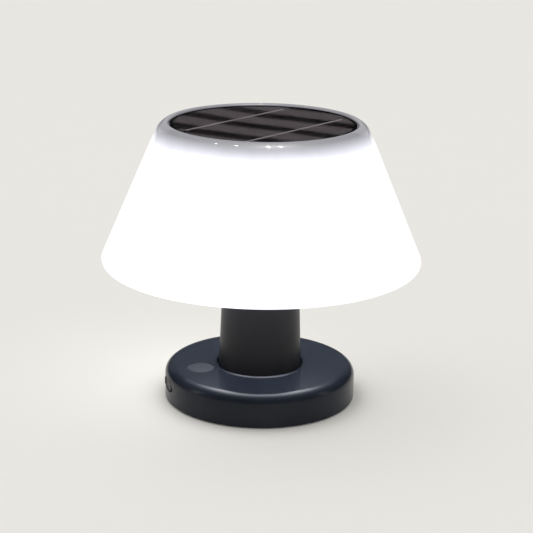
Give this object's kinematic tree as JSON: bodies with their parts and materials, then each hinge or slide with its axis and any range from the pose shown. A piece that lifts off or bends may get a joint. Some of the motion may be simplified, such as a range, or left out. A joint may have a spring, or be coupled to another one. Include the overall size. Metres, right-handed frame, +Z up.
{
  "type": "solar table lantern",
  "caption": "Cordless table lantern: glowing frosted cone shade with a round solar panel on top, tapered black post and round weighted base with a button and a plugged charging port.",
  "frame": {"origin": "centre of the foot pad's lower face, on the surface that the lantern stands on", "axes": "+Z up along the post, -Y the front, +X to the right seen from the front; the button and charging port lie at the left, 17 degrees towards the front from -X"},
  "size_m": [0.16, 0.16, 0.1427],
  "materials": {
    "frosted_shade": "frosted, lit from inside, smooth gloss on the shoulder",
    "frosted_plate": "frosted, lit from inside",
    "panel_clear_front": "clear resin over dark cells",
    "solar_cell": "dark cell with soft bands",
    "tinned_ribbon": "dull tinned",
    "panel_backsheet": "matte black laminate",
    "foam_tape": "white foam",
    "white_board": "white solder mask",
    "led_phosphor": "phosphor, lit",
    "screw_steel": "zinc plated",
    "post_black": "satin black moulded",
    "gasket_rubber": "soft matte",
    "battery_sleeve": "shrink sleeve",
    "holder_black": "moulded",
    "nickel_strip": "nickel strip",
    "lead_red": "wire insulation",
    "lead_black": "wire insulation",
    "base_black": "satin black moulded, slightly blue",
    "bottom_black": "matte moulded",
    "foot_rubber": "matte foam rubber",
    "ballast_steel": "mill finish",
    "board_green": "green solder mask",
    "chip_black": "moulded package",
    "plunger_plastic": "moulded",
    "socket_steel": "plated shell",
    "button_grey": "matte grey key",
    "plug_rubber": "satin rubber"
  },
  "bodies": {
    "lantern": {"shade": "frosted_shade", "shade_bottom": "frosted_plate", "shade_bottom_screws": "screw_steel", "solar_cover": "panel_clear_front", "solar_cells": "solar_cell", "cell_ribbons": "tinned_ribbon", "solar_backsheet": "panel_backsheet", "panel_seal": "foam_tape", "led_board": "white_board", "leds": "led_phosphor", "led_screws": "screw_steel", "post_tube": "post_black", "post_collar": "post_black", "collar_screws": "screw_steel", "post_gasket": "gasket_rubber", "post_screws": "screw_steel", "battery_cell": "battery_sleeve", "battery_holder": "holder_black", "battery_tabs": "nickel_strip", "battery_lead_red": "lead_red", "battery_lead_black": "lead_black", "led_lead_red": "lead_red", "led_lead_black": "lead_black", "panel_lead_red": "lead_red", "panel_lead_black": "lead_black", "base_housing": "base_black", "base_bottom": "bottom_black", "base_gasket": "gasket_rubber", "base_screws": "screw_steel", "foot_pad": "foot_rubber", "ballast_plate": "ballast_steel", "control_board": "board_green", "board_chips": "chip_black", "board_screws": "screw_steel", "tact_switch": "chip_black", "usb_socket": "socket_steel", "usb_tongue": "chip_black", "plug_anchor": "plug_rubber"},
    "button": {"button_cap": "button_grey", "switch_plunger": "plunger_plastic"},
    "plug": {"port_plug": "plug_rubber"}
  },
  "joints": [
    {"name": "button_press", "type": "slide", "parent": "lantern", "child": "button", "axis": [0, 0, -1], "range_m": [0, 0.0004], "stiffness_N_per_m": 2000},
    {"name": "plug_hinge", "type": "hinge", "parent": "lantern", "child": "plug", "pos_m": [-0.04765, -0.00798, 0.0096], "axis": [0, 0, -1], "range_deg": [0, 100]}
  ]
}
